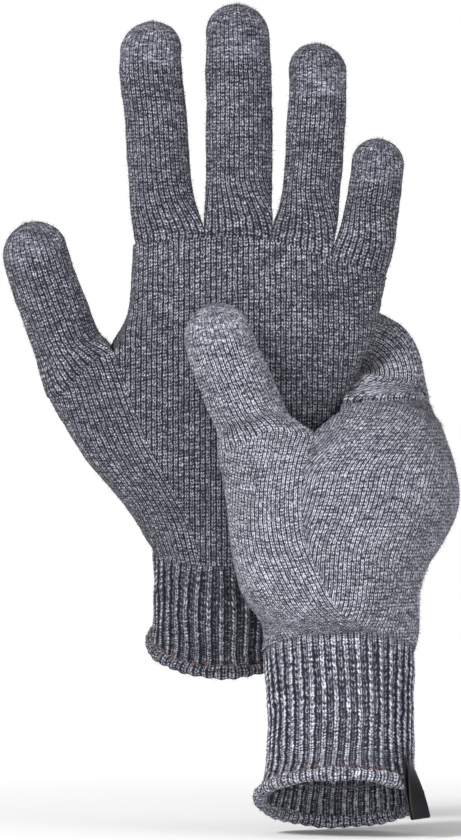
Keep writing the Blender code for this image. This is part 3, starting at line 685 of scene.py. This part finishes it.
def wrist_ring(glove, angles):
    """Points round the hand's lower edge at the cuff's angles."""
    count = 400
    front = 0.5 - 0.5 * np.cos(np.linspace(0, math.pi, count))
    columns = [(w, 1.0) for w in front[:-1]] + [(w, -1.0) for w in front[:0:-1]]
    ring = glove.hand.at(0.0, *np.array(columns).T)
    lean = glove.cuff[-1][3]
    back = np.cross(ring_axis(lean), (1.0, 0, 0))
    offset = ring - ring.mean(0)
    turn = np.unwrap(np.arctan2(-offset @ back, offset[:, 0]))
    if turn[-1] < turn[0]:
        ring, turn = ring[::-1], turn[::-1]
    turn = np.concatenate([turn - 2 * math.pi, turn, turn + 2 * math.pi])
    ring = np.vstack([ring] * 3)
    return np.stack([np.interp(angles, turn, ring[:, k]) for k in range(3)], 1)


def rib_wave(turns, ribs):
    """1 on a rib's crown and -1 in the valley between two ribs."""
    wave = np.cos(turns * ribs)
    return np.sign(wave) * np.abs(wave) ** 0.8


def knit_cuff(side, glove, rows, ribs, look, seed):
    """Ribbed cuff with its outer and inner faces."""
    columns = ribs * 8
    angles = np.linspace(0, 2 * math.pi, columns, endpoint=False)
    wrist = wrist_ring(glove, angles)
    length = np.linalg.norm(rows[-1][:3] - rows[0][:3])
    levels = np.linspace(-RIB_OVERLAP / length, 1 + 0.3 / length, int(length / 0.62))
    rings = []
    for level in levels:
        row = smooth_path(rows, level)[0]
        blend = smoothstep((level - 0.55) / 0.45)
        sunk = oval_ring(row, angles, rise=min(level, 0.0) * length)
        rings.append(sunk * (1 - blend) + wrist * blend)
    rings = np.stack(rings)
    normals = outward(rings)
    wander = 0.5 * np.sin(levels * 9)[:, None] * np.sin(angles * 3 + seed)[None] / ribs
    wave = rib_wave(angles[None] + wander, ribs)
    strength = (1 - smoothstep((levels - 0.74) / 0.22))[:, None] * 0.90 + 0.10
    u = (angles[None] + wander) * ribs / math.pi + 0.5
    v = np.tile((levels * length / COURSE)[:, None], (1, columns))
    lumps = 0.10 * np.cos(2 * math.pi * v) * (wave > 0)
    lift = RIB_DEPTH * wave * strength + lumps + 0.35 * soft_noise(rings, 17, seed)
    outer = rings + normals * (lift - RIB_SINK)[..., None]
    inner = rings + normals * (lift - RIB_SINK - RIB_THICKNESS)[..., None]
    ends = u.copy()
    ends[:, 0] += 2 * ribs
    piece = Knit()
    a, b = piece.add(outer), piece.add(inner)
    piece.faces(a, u, ends, v)
    piece.faces(b[::-1], u[::-1], ends[::-1], v[::-1])
    for first, second, row in ((b[0], a[0], 0), (a[-1], b[-1], -1)):
        piece.faces(np.stack([first, second]), u[[row, row]], ends[[row, row]], v[[row, row]])
    piece.fuzz(outer, normals, u, v, outer.size // 30, seed + 9)
    return piece.build(f"{side}_cuff_rib_knit", look)


def knit_hem(side, rows, ribs, look, seed):
    """Rolled hem: a fat, slightly uneven roll that the ribs run round."""
    columns = ribs * 8
    angles = np.linspace(0, 2 * math.pi, columns, endpoint=False)
    middle = oval_ring(rows[0], angles, grow=0.4, rise=-(HEM_RADIUS + 0.1))
    sideways = unit(middle - middle.mean(0))[:, None]
    upward = ring_axis(rows[0][5])
    turns = np.linspace(0, 2 * math.pi, HEM_TURNS + 1)[:-1]
    size = HEM_RADIUS * (1 + 0.12 * soft_noise(middle, 13, seed))[:, None]
    fat = size + 0.32 * rib_wave(angles, ribs)[:, None] * (0.6 + 0.4 * np.cos(turns))
    facing = np.cos(turns)[:, None] * sideways + np.sin(turns)[:, None] * upward
    roll = middle[:, None] + fat[..., None] * facing
    hem = Knit()
    numbers = hem.add(roll)
    u = np.tile((angles * ribs / math.pi)[:, None], (1, HEM_TURNS))
    v = np.tile(turns * HEM_RADIUS / COURSE, (columns, 1))
    here, there = numbers, np.roll(numbers, -1, 0)
    quads = np.stack([here, there, np.roll(there, -1, 1), np.roll(here, -1, 1)], -1)
    hem.quads.append(quads.reshape(-1, 4))
    u_there = np.vstack([u[1:], u[:1] + 2 * ribs])
    v_round = np.roll(v, -1, 1)
    v_round[:, -1] = 2 * math.pi * HEM_RADIUS / COURSE
    corners = [np.stack(pair, -1) for pair in ((u, v), (u_there, v), (u_there, v_round), (u, v_round))]
    hem.uvs.append(np.stack(corners, 2).reshape(-1, 2))
    hem.fuzz(roll, unit(roll - middle[:, None]), u, v, roll.size // 15, seed + 5)
    return hem.build(f"{side}_rolled_hem_knit", look)


def yarn(path, radius, closed=False):
    """Round yarn along a line of points, as points and faces."""
    path = np.asarray(path, float)
    if closed:
        forward = unit(np.roll(path, -1, 0) - np.roll(path, 1, 0))
    else:
        forward = unit(np.gradient(path, axis=0))
    first = unit(np.cross(forward, (0.123, 0.456, 0.88)))[:, None]
    second = np.cross(forward, first[:, 0])[:, None]
    turns = np.linspace(0, 2 * math.pi, YARN_SIDES, endpoint=False)[None, :, None]
    ring = path[:, None] + radius * (np.cos(turns) * first + np.sin(turns) * second)
    numbers = np.arange(len(path) * YARN_SIDES).reshape(-1, YARN_SIDES)
    rows = np.vstack([numbers, numbers[:1]]) if closed else numbers
    following = np.roll(rows, -1, 1)
    faces = np.stack([rows[:-1], following[:-1], following[1:], rows[1:]], -1).reshape(-1, 4).tolist()
    if not closed:
        faces += [numbers[0][::-1].tolist(), numbers[-1].tolist()]
    return ring.reshape(-1, 3), faces


def add_object(name, parts, look):
    """One mesh object from several lists of points and faces."""
    points, faces, count = [], [], 0
    for part_points, part_faces in parts:
        points.append(part_points)
        faces += [tuple(v + count for v in face) for face in part_faces]
        count += len(part_points)
    mesh = bpy.data.meshes.new(name)
    mesh.from_pydata(((np.vstack(points) + SHIFT) * MM).tolist(), [], faces)
    mesh.shade_smooth()
    mesh.materials.append(look)
    return in_scene(name, mesh)


def hem_thread(side, rows, ribs, look):
    """Overcast stitches of reddish thread in the groove between hem and rib."""
    parts = []
    turn = 2 * math.pi / ribs
    for k in range(ribs):
        angles = k * turn + np.linspace(-0.32, 0.32, 7) * turn
        lift = np.linspace(-0.9, 1.1, 7)
        bulge = 0.55 * np.cos(np.linspace(-1.4, 1.4, 7))
        path = [oval_ring(rows[0], np.array([a]), grow=0.35 + b, rise=r)[0]
                for a, r, b in zip(angles, lift, bulge)]
        parts.append(yarn(path, 0.32))
    return add_object(f"{side}_hem_thread_stitches", parts, look)


def elastic_yarn(side, rows, ribs, look):
    """Elastic yarn that runs inside the rib, close to its inner face."""
    angles = np.linspace(0, 2 * math.pi, ribs * 6, endpoint=False)
    row = smooth_path(rows, 0.30)[0]
    ring = oval_ring(row, angles, grow=-2.3)
    ring += unit(ring - ring.mean(0)) * (0.35 * np.cos(angles * ribs))[:, None]
    return add_object(f"{side}_cuff_elastic_yarn", [yarn(ring, 0.35, closed=True)], look)


# ---- label

def label_axes():
    down = unit(LABEL_DIRECTION)
    across = unit(np.asarray(LABEL_ACROSS) - down * np.dot(LABEL_ACROSS, down))
    return down, across, unit(np.cross(down, across))


def label_turn(reach):
    """Twist of the ribbon about its own length, most at its sewn top edge."""
    return LABEL_TWIST * (1 - np.clip(np.asarray(reach, float) / 20.0, 0, 1)) ** 1.3


def satin_label(look):
    """Folded satin ribbon, with a soft fold, a slight bow and a twist."""
    down, across, out = label_axes()
    half = LABEL_HALF
    reach = LABEL_LENGTH - 1.1
    straight = np.linspace(0, reach, 40)
    turns = np.linspace(-math.pi / 2, math.pi / 2, 15)[1:-1]
    swell = half + 0.25 * np.sin(math.pi * straight / reach) ** 2

    def profile(thin):
        gap = swell - thin
        front = np.stack([straight, gap], 1)
        fold = np.array([reach, 0]) + (half - thin) * np.stack([np.cos(turns), np.sin(turns)], 1)[::-1]
        return np.vstack([front, fold, np.stack([straight, -gap], 1)[::-1]])

    lines = np.vstack([profile(0.0), profile(LABEL_PLY)[::-1]])
    count = len(lines)
    places = np.linspace(-0.5, 0.5, 17)
    top = np.asarray(LABEL_TOP)
    points = []
    for place in places:
        bow = 0.25 * (4 * place * place) * np.sin(math.pi * np.clip(lines[:, :1] / LABEL_LENGTH, 0, 1))
        turn = label_turn(lines[:, :1])
        sideways = across * np.cos(turn) - out * np.sin(turn)
        facing = out * np.cos(turn) + across * np.sin(turn)
        middle = top + lines[:, :1] * down + (lines[:, 1:] - bow) * facing
        points.append(middle + LABEL_WIDTH * place * sideways)
    numbers = np.arange(len(places) * count).reshape(len(places), count)
    quads = []
    for a, b in zip(numbers, numbers[1:]):
        quads += [(a[j], a[(j + 1) % count], b[(j + 1) % count], b[j]) for j in range(count)]
    half_count = count // 2
    for row, flip in ((numbers[0], True), (numbers[-1], False)):
        for j in range(half_count - 1):
            quad = (row[j], row[j + 1], row[count - 2 - j], row[count - 1 - j])
            quads.append(quad[::-1] if flip else quad)
    quads = [tuple(int(v) for v in quad) for quad in quads]
    return add_object("right_label_satin", [(np.vstack(points), quads)], look)


def label_stitches(look):
    """Bar stitches across the label's top edge."""
    down, across, out = label_axes()
    turn = float(label_turn(0.0))
    cosine, sine = math.cos(turn), math.sin(turn)
    across, out = across * cosine - out * sine, out * cosine + across * sine
    parts = []
    centre = np.asarray(LABEL_TOP) - down * 0.5
    for x in np.linspace(-3.5, 3.5, 8):
        path = [centre + across * (x + 0.25 * t) + down * (0.5 * t) + out * (1.0 * math.cos(t * 1.3))
                for t in np.linspace(-1, 1, 7)]
        parts.append(yarn(path, 0.24))
    return add_object("right_label_stitches", parts, look)


# ---- materials

def new_material(name, roughness, specular):
    """Material with its node tree and its shader."""
    made = bpy.data.materials.new(name)
    made.use_nodes = True
    shader = made.node_tree.nodes["Principled BSDF"]
    fill(shader, {"Roughness": roughness, "Specular IOR Level": specular})
    return made, made.node_tree, shader


def fill(made, values):
    for name, value in values.items():
        made.inputs[name].default_value = value


def node(tree, kind, **values):
    made = tree.nodes.new(kind)
    for key, value in values.items():
        setattr(made, key, value)
    return made


def math_node(tree, operation, a, b=None, clamp=False):
    """Maths on sockets or plain numbers."""
    made = node(tree, "ShaderNodeMath", operation=operation, use_clamp=clamp)
    for socket, value in zip(made.inputs, (a, b)):
        if value is None:
            continue
        if isinstance(value, (int, float)):
            socket.default_value = value
        else:
            tree.links.new(value, socket)
    return made.outputs[0]


def ramp_node(tree, value, stops):
    made = node(tree, "ShaderNodeValToRGB")
    elements = made.color_ramp.elements
    elements[0].position, elements[0].color = stops[0][0], (*stops[0][1], 1)
    elements[1].position, elements[1].color = stops[-1][0], (*stops[-1][1], 1)
    for position, colour in stops[1:-1]:
        extra = elements.new(position)
        extra.color = (*colour, 1)
    tree.links.new(value, made.inputs[0])
    return made.outputs[0]


def noise_node(tree, vector, scale, detail=3.0, stretch=(1, 1, 1), rough=0.6):
    """Grey noise, finer along the axes that are stretched."""
    mapping = node(tree, "ShaderNodeMapping")
    fill(mapping, {"Scale": stretch})
    tree.links.new(vector, mapping.inputs["Vector"])
    made = node(tree, "ShaderNodeTexNoise")
    fill(made, {"Scale": scale, "Detail": detail, "Roughness": rough})
    tree.links.new(mapping.outputs[0], made.inputs["Vector"])
    return made.outputs[0]


def knit_material(name, shades, tip=False, rib=None):
    """Melange yarn knitted plain: pale grey-blue fibres over dark navy ones.

    rib is the course where a cuff's ribs begin to fade into the plain knit above them.
    """
    made, tree, shader = new_material(name, 0.95, 0.15)
    fill(shader, {"Sheen Weight": 0.07, "Sheen Roughness": 0.6})

    def add(a, b):
        return math_node(tree, "ADD", a, b)

    def less(a, b):
        return math_node(tree, "SUBTRACT", a, b)

    def times(a, b, clamp=False):
        return math_node(tree, "MULTIPLY", a, b, clamp)

    knit_uv = node(tree, "ShaderNodeUVMap", uv_map="knit").outputs[0]
    split = node(tree, "ShaderNodeSeparateXYZ")
    tree.links.new(knit_uv, split.inputs[0])
    u, v = split.outputs[0], split.outputs[1]
    place = node(tree, "ShaderNodeTexCoord").outputs["Object"]
    # the two slanting strands of each stitch, with some wobble
    wobble = less(noise_node(tree, place, 420.0, 2.0), 0.5)
    part = math_node(tree, "FRACT", add(u, times(wobble, 0.55)))
    p = math_node(tree, "ABSOLUTE", less(part, 0.5))
    phase = less(add(v, times(wobble, 1.1)), times(p, 1.5))
    wave = math_node(tree, "COSINE", times(phase, 2 * math.pi))
    strand = add(times(wave, 0.5), 0.5)
    border = times(less(0.5, p), 4.5, clamp=True)
    spine = math_node(tree, "ADD", times(p, 3.0, clamp=True), 0.55, clamp=True)
    body = times(times(border, spine), add(times(strand, 0.38), 0.62))
    # the melange, from yarn ends down to single fibres
    fibre = noise_node(tree, place, 900.0, 3.0, (1, 1, 1.5), 0.75)
    noises = {
        "grain": noise_node(tree, knit_uv, 1.0, 4.0, (1.1, 1.6, 1), 0.7),
        "fibre": fibre,
        "streak": noise_node(tree, place, 210.0, 2.0, (1, 1, 3.6)),
        "patch": noise_node(tree, place, 45.0, 2.0, (1, 1, 2.0), 0.5),
    }
    total = shades["middle"] - 0.5 * sum(shades[kind] for kind in noises)
    for kind, noise in noises.items():
        total = add(total, times(noise, shades[kind]))
    # painted shade: the gaps between the stitch strands are darkened and the strands lightened, less on the
    # touch tip
    total = add(total, times(less(body, 0.70), shades["groove"] * (0.55 if tip else 1.0)))
    # painted shade and light on the cuff: the ribs' valleys are darkened and their crowns lightened.
    # RIB_SHADE also darkens the whole rib.
    if rib:
        crown = math_node(tree, "COSINE", less(times(u, math.pi), 0.5 * math.pi))
        below = times(less(rib, v), 0.16, clamp=True)
        total = add(total, times(less(times(crown, 0.20), RIB_SHADE), below))
    stops = [(0.0, shades["dark"]), (0.42, shades["mid"]), (0.72, shades["light"]), (1.0, shades["pale"])]
    tree.links.new(ramp_node(tree, total, stops), shader.inputs["Base Color"])
    add_bump(tree, shader, add(times(body, 0.5 if tip else 1.0), times(fibre, 0.9)), 0.9, 0.0006)
    return made


def add_bump(tree, shader, height, strength, distance):
    bump = node(tree, "ShaderNodeBump")
    fill(bump, {"Strength": strength, "Distance": distance})
    tree.links.new(height, bump.inputs["Height"])
    tree.links.new(bump.outputs[0], shader.inputs["Normal"])


def plain_material(name, colour, roughness, specular=0.4):
    made, tree, shader = new_material(name, roughness, specular)
    place = node(tree, "ShaderNodeTexCoord").outputs["Object"]
    grain = noise_node(tree, place, 1400.0, 3.0)
    dark = tuple(c * 0.55 for c in colour)
    light = tuple(min(c * 1.5, 1.0) for c in colour)
    tree.links.new(ramp_node(tree, grain, [(0.3, dark), (0.7, light)]), shader.inputs["Base Color"])
    add_bump(tree, shader, grain, 0.4, 0.0001)
    return made


def shades(middle, light):
    """Strengths of the noises and of the painted stitch-gap shade, and four colours scaled by light."""
    colours = {
        "dark": (0.010, 0.012, 0.020),
        "mid": (0.115, 0.117, 0.148),
        "light": (0.300, 0.305, 0.360),
        "pale": (0.620, 0.625, 0.700),
    }
    scaled = {name: tuple(c * light for c in colour) for name, colour in colours.items()}
    strengths = {"grain": 2.2, "fibre": 1.6, "streak": 1.10, "patch": 0.30, "groove": 1.25}
    return {**strengths, **scaled, "middle": middle}


# ---- the pair

def blend_stall(pieces):
    """Bake each piece's placement into its mesh."""
    for piece in pieces:
        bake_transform(piece)


def make_glove(side, glove, fingers, thumb, looks, seed):
    hand, fuzz = knit_hand(side, glove, looks["knit"], seed)
    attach(fuzz, f"{side}_hand")
    rows, ribs = cuff_shape(glove)
    cuff = knit_cuff(side, glove, rows, ribs, looks["rib"], seed + 3)
    hem = knit_hem(side, rows, ribs, looks["knit"], seed + 8)
    thread = hem_thread(side, rows, ribs, looks["thread"])
    elastic = elastic_yarn(side, rows, ribs, looks["elastic"])
    knit_slot = f"{side}_melange_knit"
    for piece, cad, slot in ((hand, "hand", knit_slot), (cuff, "cuff_rib", knit_slot),
                             (hem, "rolled_hem", knit_slot), (thread, "hem_thread", "hem_thread"),
                             (elastic, "cuff_elastic", "elastic_yarn")):
        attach(piece, f"{side}_hand")
        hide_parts(f"{side}_{cad}")
    for name, (*_, spine, width, depth, tip, across) in {"thumb": thumb, **fingers}.items():
        reach, lean = LONG_BEND, (0, 0, 0)
        if name == "thumb":
            base, up = glove.thumb_base()
            settle = THUMB_SETTLE
        else:
            base, up = glove.finger_base(name)
            settle = LEFT_FINGER_SETTLE
            if side == "right":
                settle, reach, lean = RIGHT_FINGER_SETTLE, SHORT_BEND, (-0.5, 0, 0)
        stall = Stall(base, up, spine, width, depth, across, settle)
        pieces = knit_stall(side, name, stall, tip, glove.wale, looks, seed)
        blend_stall(pieces)
        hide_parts(f"{side}_{name}_stall")
        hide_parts(f"{side}_{name}_touch_tip")


def right_fingers():
    """The right glove's four fingers share one curl, a step apart."""
    fingers = {}
    for name, size in RIGHT_SIZE.items():
        spine = np.array(RIGHT_SPINE) + np.array(RIGHT_STEP[name])
        width = np.linspace(10.4, 10.0, len(spine)) * size
        depth = np.linspace(12.2, 10.0, len(spine)) * size
        fingers[name] = (RIGHT_SHARES[name], spine, width, depth, 0.76, (0, 1, 0))
    return fingers


thread = plain_material("hem_thread", (0.110, 0.048, 0.040), 0.9)
elastic = plain_material("elastic_yarn", (0.110, 0.110, 0.130), 0.8)


def glove_looks(side, knit, rib, tip, rib_end):
    """Materials of one glove. Each knit is given by its middle shade and its lightness."""
    return {
        "knit": knit_material(f"{side}_melange_knit", shades(*knit)),
        "rib": knit_material(f"{side}_melange_rib", shades(*rib), rib=rib_end),
        "tip": knit_material(f"{side}_conductive_knit", shades(*tip), tip=True),
        "thread": thread,
        "elastic": elastic,
    }


# painted shade: the left glove's knits are darker copies of the right glove's, as the left glove lies in
# shade behind it
left_looks = glove_looks("left", (0.36, 0.80), (0.38, 0.80), (0.41, 0.82), 27.0)
right_looks = glove_looks("right", (0.53, 0.96), (0.48, 0.94), (0.55, 0.96), 39.0)
left_shares = {name: data[0] for name, data in LEFT_FINGERS.items()}
left = Glove(LEFT_HAND, LEFT_PALM, left_shares, LEFT_WALE, LEFT_CUFF, upright=True)
make_glove("left", left, LEFT_FINGERS, LEFT_THUMB, left_looks, 11)
right = Glove(RIGHT_HAND, RIGHT_PALM, RIGHT_SHARES, RIGHT_WALE, RIGHT_CUFF, upright=False)
make_glove("right", right, right_fingers(), RIGHT_THUMB, right_looks, 29)

satin = plain_material("black_satin", (0.004, 0.004, 0.006), 0.38, 0.22)
label = satin_label(satin)
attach(label, "right_label")
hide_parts("right_label")
stitches = label_stitches(plain_material("black_stitching", (0.028, 0.028, 0.032), 0.7))
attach(stitches, "right_hand")
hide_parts("right_label_stitching")


# ---- studio

def floor():
    """Plain floor whose far part glows, so that it runs out into the white background."""
    mesh = bpy.data.meshes.new("studio_floor")
    corners = [(-1, -1), (1, -1), (1, 1), (-1, 1)]
    points = [(x * FLOOR_REACH, y * FLOOR_REACH, FLOOR_LEVEL) for x, y in corners]
    mesh.from_pydata(points, [], [(0, 1, 2, 3)])
    look, tree, shader = new_material("pale_floor", 0.9, 0.5)
    fill(shader, {"Base Color": (0.93, 0.93, 0.93, 1)})
    glow = node(tree, "ShaderNodeEmission")
    fill(glow, {"Color": (1, 1, 1, 1)})
    place = node(tree, "ShaderNodeTexCoord").outputs["Object"]
    reach = node(tree, "ShaderNodeVectorMath", operation="LENGTH")
    tree.links.new(place, reach.inputs[0])
    far = node(tree, "ShaderNodeMapRange")
    fill(far, {"From Min": 0.05, "From Max": 0.42})
    tree.links.new(reach.outputs["Value"], far.inputs["Value"])
    mix = node(tree, "ShaderNodeMixShader")
    for number, socket in enumerate((far.outputs[0], shader.outputs[0], glow.outputs[0])):
        tree.links.new(socket, mix.inputs[number])
    tree.links.new(mix.outputs[0], tree.nodes["Material Output"].inputs["Surface"])
    mesh.materials.append(look)
    in_scene("studio_floor", mesh)


def lamp(name, place, size, power, target):
    data = bpy.data.lights.new(name, "AREA")
    data.shape = "DISK"
    data.size = size
    data.energy = power
    item = in_scene(name, data)
    item.location = place
    way = Vector(target) - Vector(place)
    item.rotation_euler = way.to_track_quat("-Z", "Y").to_euler()


def studio():
    floor()
    world = bpy.data.worlds.new("studio")
    world.use_nodes = True
    tree = world.node_tree
    background = tree.nodes["Background"]
    fill(background, {"Color": (1, 1, 1, 1)})
    seen = node(tree, "ShaderNodeLightPath").outputs["Is Camera Ray"]
    strength = node(tree, "ShaderNodeMapRange")
    fill(strength, {"To Min": 0.42, "To Max": 1.0})
    tree.links.new(seen, strength.inputs["Value"])
    tree.links.new(strength.outputs[0], background.inputs["Strength"])
    bpy.context.scene.world = world
    bpy.context.scene.view_settings.view_transform = "Standard"
    for values in LAMPS:
        lamp(*values)
    data = bpy.data.cameras.new("view")
    data.lens = CAMERA_LENS
    data.sensor_width = 36
    camera = in_scene("view", data)
    camera.location = CAMERA_PLACE
    camera.rotation_euler = (math.pi / 2, 0, 0)
    bpy.context.scene.camera = camera


studio()
